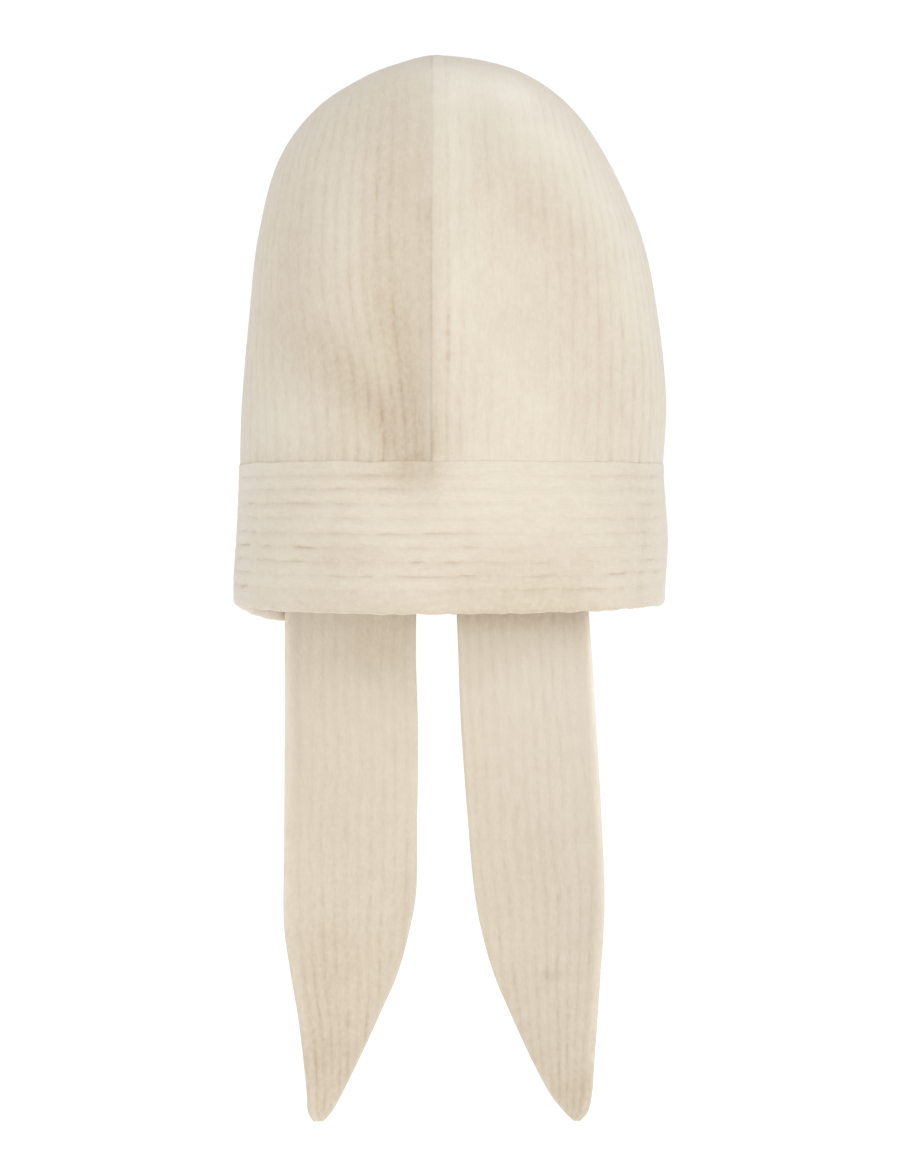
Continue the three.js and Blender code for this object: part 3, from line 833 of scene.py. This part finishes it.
def tie(name, side, sizes, material):
    shell = Shell()
    table = TIES[:, [0, *TIE_EDGES[side], 5, 6]]
    rows = tie_rows(table, TIE_ROWS)
    full = table[0, 2] - table[0, 1]
    sewn = (table[0, 1] + table[0, 2]) / 2
    slope = float((along_wall(np.array([sewn + 1.0])) - along_wall(np.array([sewn - 1.0])))[0]) / 2
    normal = np.array([-slope, 1]) / math.hypot(slope, 1)
    pitch = full / TIE_RIBS
    share = (1 - np.cos(np.linspace(0, math.pi, TIE_COLUMNS + 1))) / 2
    share = 0.35 * share + 0.65 * np.linspace(0, 1, TIE_COLUMNS + 1)
    loops = []
    for height, left, right, curl, body in rows:
        width = right - left
        sideways = width * (share - 0.5)
        curved = along_wall(sewn + sideways) - along_wall(np.array([sewn]))
        y = along_wall(np.array([sewn])) + slope * sideways * (1 - curl) + curved * curl
        spacing = pitch * (1 - TIE_SQUEEZE * (1 - width / full))
        outer_edge = width * share if side == LEFT else width * (1 - share)
        down = table[0, 0] - height
        rib = outer_edge / spacing + 0.2 * soft_noise(outer_edge / 16, down / 34, 70 + side)
        rib = rib + 0.06 * soft_noise(outer_edge / 8, down / 9, 72 + side)
        knit = grooves(rib, down / DASH, 74 + side, 0.5)
        wave = TIE_BEND * (knit.sum(axis=0) - 0.3) * min(width / 20, 1)
        # Painted shade in the rib hollows, stronger towards the tip, with a deeper tone in the small faults
        toned = RIB_SHADE @ knit * (0.58 + 0.5 * smooth_step(120, 230, down))
        swell = TIE_SWELL * soft_noise(sideways / 30 + 30, down / 46 + 20, 78 + side)
        swell = swell * smooth_step(30, 70, down)
        x = (left + right) / 2 + sideways
        for centre, middle, half_width, half_height, depth in TIE_FAULTS:
            spot = np.exp(-((x - centre) / half_width) ** 2 - ((height - middle) / half_height) ** 2)
            wave = wave + depth * spot
            toned = toned + FAULT_TONE * max(depth, 0) * spot
        to_edge = np.minimum(width * share, width * (1 - share))
        short = np.clip(1 - to_edge / TIE_EDGE, 0, 1)
        half = TIE_THICKNESS / 2 * body * np.sqrt(np.maximum(1 - short ** 2, 0.002))
        layers = []
        for out in (wave + swell - half, wave + swell + half):
            layers.append(np.stack([x + normal[0] * out, y + normal[1] * out, np.full_like(x, height)], -1))
        points = np.concatenate([layers[0], layers[1][::-1]])
        uv_rib = np.concatenate([rib, rib[::-1] + 0.5])
        uv = np.stack([uv_rib, np.full(len(points), down / STITCH)], -1)
        # Painted shade and light of the ties, less the painted highlight along their edges
        painted_light_and_shade = patches(TIE_PAINTED_SHADE, x, y, height) - TIE_EDGE_HIGHLIGHT * np.exp(-to_edge / TIE_EDGE_HIGHLIGHT_REACH)
        numbers = shell.row(points, uv, np.concatenate([toned + painted_light_and_shade, (0.3 - toned + painted_light_and_shade)[::-1]]))
        closing = shell.again(shell.vertex_of[-1][:1], [uv_rib[-1], down / STITCH])
        loops.append(np.append(numbers, closing))
    at = np.arange(len(loops[0]))
    for near, far in zip(loops, loops[1:]):
        shell.bridge(near, at, far, at)
    half_way = TIE_COLUMNS + 1
    for loop in (loops[0], loops[-1]):
        front, rear = loop[:half_way], loop[half_way:-1][::-1]
        shell.bridge(front, at[:half_way], rear, at[:half_way])
    return shell.build(name, material)


# Materials

class Socket:
    """A number of a node tree that takes part in Python expressions."""

    def __init__(self, graph, socket):
        self.graph, self.socket = graph, socket

    def __add__(self, other):
        return self.graph.math("ADD", self, other)

    def __radd__(self, other):
        return self.graph.math("ADD", other, self)

    def __sub__(self, other):
        return self.graph.math("SUBTRACT", self, other)

    def __rsub__(self, other):
        return self.graph.math("SUBTRACT", other, self)

    def __mul__(self, other):
        return self.graph.math("MULTIPLY", self, other)

    def __rmul__(self, other):
        return self.graph.math("MULTIPLY", other, self)

    def __pow__(self, other):
        return self.graph.math("POWER", self, other)

    def __abs__(self):
        return self.graph.math("ABSOLUTE", self)


class Graph:
    """Makes the nodes of one tree."""

    def __init__(self, tree):
        self.tree = tree
        tree.nodes.clear()

    def node(self, kind, settings=None, inputs=None):
        """A node of a type, with its settings first and then the values or links of its sockets."""
        node = self.tree.nodes.new(kind)
        for name, value in (settings or {}).items():
            setattr(node, name, value)
        for key, value in (inputs or {}).items():
            value = value.socket if isinstance(value, Socket) else value
            if isinstance(value, bpy.types.NodeSocket):
                self.tree.links.new(value, node.inputs[key])
            else:
                node.inputs[key].default_value = value
        return node

    def math(self, operation, *values, clamp=False):
        settings = {"operation": operation, "use_clamp": clamp}
        node = self.node("ShaderNodeMath", settings, dict(enumerate(values)))
        return Socket(self, node.outputs[0])

    def clamp(self, value):
        return self.math("ADD", value, 0.0, clamp=True)

    def mix(self, factor, a, b):
        """A colour between a and b, or past them where the factor leaves 0 to 1."""
        settings = {"data_type": "RGBA", "clamp_factor": False}
        node = self.node("ShaderNodeMix", settings, {0: factor, 6: a, 7: b})
        return node.outputs[2]

    def noise(self, vector, scale, detail=3.0, rough=0.55):
        inputs = {"Vector": vector, "Scale": scale, "Detail": detail, "Roughness": rough}
        return Socket(self, self.node("ShaderNodeTexNoise", None, inputs).outputs["Fac"])


def wool_material(name, look, light, painted_shade_offset=0.0):
    """Brushed cream rib knit: rows of stitches, laid fibres, blotches and slow changes of tone."""
    material = bpy.data.materials.new(name)
    material.use_nodes = True
    graph = Graph(material.node_tree)
    cloth = graph.node("ShaderNodeUVMap", {"uv_map": "ribs"}).outputs["UV"]
    parts = graph.node("ShaderNodeSeparateXYZ", None, {"Vector": cloth})
    rib, stitch = Socket(graph, parts.outputs["X"]), Socket(graph, parts.outputs["Y"])
    place = graph.node("ShaderNodeTexCoord").outputs["Object"]
    deep = Socket(graph, graph.node("ShaderNodeAttribute", {"attribute_name": "shade"}).outputs["Fac"])
    wale = abs(graph.math("FRACT", rib * 2.0) - 0.5)
    loops = graph.math("SINE", (stitch + wale * 1.1) * (2 * math.pi)) * 0.5 + 0.5
    laid = graph.node("ShaderNodeCombineXYZ", None, {"X": rib * 6.0, "Y": stitch * 1.3}).outputs[0]
    drawn = graph.node("ShaderNodeCombineXYZ", None, {"X": rib * 5.0, "Y": stitch * 0.5}).outputs[0]
    fibres = graph.noise(laid, 2.6, 6.0, 0.7)
    strands = graph.noise(drawn, 1.0, 3.0, 0.6)
    tufts = graph.noise(place, 420.0, 4.0, 0.6)
    blotches = graph.noise(place, 115.0, 2.0, 0.5)
    tone = graph.noise(place, 26.0, 2.0, 0.5)
    # The shade attribute holds painted shade and light; the noises add the wool's own uneven tone
    shade = deep * (tufts * 0.9 + 0.55) * look.painted_shade_strength + (tone - 0.5) * 0.25 + (blotches - 0.5) * 0.3
    shade = shade + (strands - 0.5) * 0.45 + (fibres - 0.5) * 0.4 + (tufts - 0.5) * 0.3 + (0.24 + painted_shade_offset)
    colour = graph.mix(shade, [*light, 1], [*look.wool_shade, 1])
    height = loops * 0.12 + fibres * 0.8 + tufts * 0.6 + strands * 0.5
    bump = graph.node("ShaderNodeBump", None, {
        "Strength": look.knit_bump, "Distance": 0.0006, "Height": height})
    shader = graph.node("ShaderNodeBsdfPrincipled", None, {
        "Base Color": colour,
        "Roughness": 0.86 + fibres * 0.12,
        "Specular IOR Level": 0.2,
        "Sheen Weight": 0.4,
        "Sheen Roughness": 0.5,
        "Sheen Tint": [1.0, 0.98, 0.95, 1],
        "Normal": bump.outputs["Normal"],
    })
    graph.node("ShaderNodeOutputMaterial", None, {"Surface": shader.outputs["BSDF"]})
    return material


class KnitHoodLook(bpy.types.PropertyGroup):
    """Sizes and colours of the hood that can be changed."""

    crown_relief: bpy.props.FloatProperty(
        name="Crown rib depth", description="Depth of the grooves between the crown's ribs",
        default=0.0008, min=0, max=0.003, precision=4, unit="LENGTH")
    band_relief: bpy.props.FloatProperty(
        name="Band rib depth", description="Depth of the grooves between the band's ribs",
        default=0.001, min=0, max=0.003, precision=4, unit="LENGTH")
    joint_tuck: bpy.props.FloatProperty(
        name="Joint tuck", description="How far the crown is drawn in where the band is sewn on",
        default=0.00025, min=0, max=0.003, precision=4, unit="LENGTH")
    wool_light: bpy.props.FloatVectorProperty(
        name="Wool, light", description="Colour of the raised fibres",
        default=(0.765, 0.697, 0.578), min=0, max=1, size=3, subtype="COLOR")
    tie_light: bpy.props.FloatVectorProperty(
        name="Tie wool, light", description="Colour of the raised fibres of the ties",
        default=(0.772, 0.689, 0.57), min=0, max=1, size=3, subtype="COLOR")
    # The colour that the painted shade darkens towards
    wool_shade: bpy.props.FloatVectorProperty(
        name="Wool, deep", description="Colour of the wool down in the grooves",
        default=(0.605, 0.506, 0.385), min=0, max=1, size=3, subtype="COLOR")
    # How strongly the painted shade and light of the shade attribute show
    painted_shade_strength: bpy.props.FloatProperty(
        name="Groove tone", description="How much deeper the colour is in the grooves",
        default=0.5, min=0, max=1, subtype="FACTOR")
    knit_bump: bpy.props.FloatProperty(
        name="Knit bump", description="Strength of the stitches and fibres in the surface",
        default=0.45, min=0, max=1, subtype="FACTOR")


def sizes_of(look):
    """The depths that the user can change, in millimetres."""
    return {name: getattr(look, name) / MM for name in ("crown_relief", "band_relief", "joint_tuck")}


class KNITHOOD_OT_crown(bpy.types.Operator):
    """Make the two ribbed panels of the crown"""

    bl_idname = "knit_hood.crown"
    bl_label = "Crown panels"

    def execute(self, context):
        look = context.scene.knit_hood
        sizes = sizes_of(look)
        material = wool_material("crown_wool_knit", look, look.wool_light)
        left = crown_panel("crown_left_knit", LEFT, sizes, material)
        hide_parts("crown_left")
        right = crown_panel("crown_right_knit", RIGHT, sizes, material)
        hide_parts("crown_right")
        return {"FINISHED"}


class KNITHOOD_OT_band(bpy.types.Operator):
    """Make the deep cross-ribbed band"""

    bl_idname = "knit_hood.band"
    bl_label = "Band"

    def execute(self, context):
        look = context.scene.knit_hood
        piece = band(sizes_of(look), wool_material("band_wool_knit", look, look.wool_light))
        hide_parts("band")
        return {"FINISHED"}


class KNITHOOD_OT_ties(bpy.types.Operator):
    """Make the two long pointed ties"""

    bl_idname = "knit_hood.ties"
    bl_label = "Ties"

    def execute(self, context):
        look = context.scene.knit_hood
        # The ties' colour is painted paler, to make up for the shade the hood casts on them
        material = wool_material("tie_wool_knit", look, look.tie_light, painted_shade_offset=-0.2)
        for name, side in (("tie_left", LEFT), ("tie_right", RIGHT)):
            piece = tie(name + "_knit", side, sizes_of(look), material)
            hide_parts(name)
        return {"FINISHED"}


class KNITHOOD_OT_stage(bpy.types.Operator):
    """Set the pale floor, the soft light and the camera"""

    bl_idname = "knit_hood.stage"
    bl_label = "Stage"

    floor_height = -0.95
    floor_radius = 60.0
    floor_glow = 0.38
    camera_distance = 4.0
    camera_across = -0.0009
    camera_height = -0.2263
    view_width = 0.509

    def execute(self, context):
        self.make_floor(context)
        self.make_world(context)
        self.make_key(context)
        self.make_low_lamp(context)
        self.make_camera(context)
        context.scene.view_settings.view_transform = "Standard"
        return {"FINISHED"}

    def make_floor(self, context):
        edit = bmesh.new()
        bmesh.ops.create_circle(edit, cap_ends=True, segments=96, radius=self.floor_radius)
        mesh = bpy.data.meshes.new("floor")
        edit.to_mesh(mesh)
        edit.free()
        material = bpy.data.materials.new("floor_white")
        material.use_nodes = True
        graph = Graph(material.node_tree)
        shader = graph.node("ShaderNodeBsdfPrincipled", None, {
            "Base Color": [0.8, 0.8, 0.8, 1], "Roughness": 0.9, "Specular IOR Level": 0.0,
            "Emission Color": [1, 1, 1, 1], "Emission Strength": self.floor_glow})
        graph.node("ShaderNodeOutputMaterial", None, {"Surface": shader.outputs["BSDF"]})
        mesh.materials.append(material)
        floor = bpy.data.objects.new("floor", mesh)
        floor.location.z = self.floor_height
        context.scene.collection.objects.link(floor)

    def make_world(self, context):
        world = bpy.data.worlds.new("soft_room")
        world.use_nodes = True
        graph = Graph(world.node_tree)
        toward = graph.node("ShaderNodeTexCoord").outputs["Generated"]
        parts = graph.node("ShaderNodeSeparateXYZ", None, {"Vector": toward})
        lift = Socket(graph, parts.outputs["Z"])
        above_ring = graph.clamp((abs(lift) - 0.08) * 6.0)
        overhead = graph.clamp((abs(lift) - 0.45) * 2.2)
        colour = graph.mix(above_ring, [1.03, 1.03, 1.03, 1], [0.47, 0.468, 0.462, 1])
        colour = graph.mix(overhead, colour, [1.15, 1.18, 1.22, 1])
        light = graph.node("ShaderNodeBackground", None, {"Color": colour, "Strength": 1.0})
        graph.node("ShaderNodeOutputWorld", None, {"Surface": light.outputs[0]})
        context.scene.world = world

    def make_key(self, context):
        """A soft distant lamp, high on the right."""
        lamp = bpy.data.lights.new("key", "SUN")
        lamp.energy = 0.46
        lamp.angle = math.radians(40)
        lamp.color = (0.98, 0.99, 1.0)
        turn, lift = math.radians(48), math.radians(11)
        toward = Vector((math.sin(turn) * math.cos(lift), -math.cos(turn) * math.cos(lift), math.sin(lift)))
        self.aim(context, lamp, toward)

    def make_low_lamp(self, context):
        """A low square lamp in front, which reaches in under the hem."""
        lamp = bpy.data.lights.new("panel", "AREA")
        lamp.energy = 27.0
        lamp.size = 0.8
        lamp.color = (1.0, 0.985, 0.965)
        holder = self.aim(context, lamp, Vector((0.1, -4.2, -0.36)))
        holder.visible_camera = False

    def aim(self, context, lamp, toward):
        """Puts a lamp where a vector from the hem leads, shining back along it."""
        holder = bpy.data.objects.new(lamp.name, lamp)
        holder.location = toward + Vector((0, 0, HEM_HEIGHT * MM))
        holder.rotation_euler = toward.to_track_quat("Z", "Y").to_euler()
        context.scene.collection.objects.link(holder)
        return holder

    def make_camera(self, context):
        lens = bpy.data.cameras.new("camera")
        lens.sensor_width = 36.0
        lens.lens = lens.sensor_width * self.camera_distance / self.view_width
        lens.clip_end = 200
        camera = bpy.data.objects.new("camera", lens)
        camera.location = (self.camera_across, -self.camera_distance, self.camera_height)
        camera.rotation_euler = (math.pi / 2, 0, 0)
        context.scene.collection.objects.link(camera)
        context.scene.camera = camera


class KNITHOOD_PT_panel(bpy.types.Panel):
    """Lists the hood's pieces and what can be changed"""

    bl_idname = "KNITHOOD_PT_panel"
    bl_label = "Knit hood"
    bl_space_type = "VIEW_3D"
    bl_region_type = "UI"
    bl_category = "Knit hood"

    def draw(self, context):
        for step in STEPS:
            self.layout.operator(step.bl_idname)
        for name in KnitHoodLook.__annotations__:
            self.layout.prop(context.scene.knit_hood, name)


STEPS = (KNITHOOD_OT_crown, KNITHOOD_OT_band, KNITHOOD_OT_ties, KNITHOOD_OT_stage)
CLASSES = (KnitHoodLook, *STEPS, KNITHOOD_PT_panel)


def register():
    for item in CLASSES:
        bpy.utils.register_class(item)
    bpy.types.Scene.knit_hood = bpy.props.PointerProperty(type=KnitHoodLook)


def unregister():
    del bpy.types.Scene.knit_hood
    for item in reversed(CLASSES):
        bpy.utils.unregister_class(item)


def main():
    register()
    bpy.ops.knit_hood.crown()
    bpy.ops.knit_hood.band()
    bpy.ops.knit_hood.ties()
    bpy.ops.knit_hood.stage()


if __name__ == "__main__":
    main()
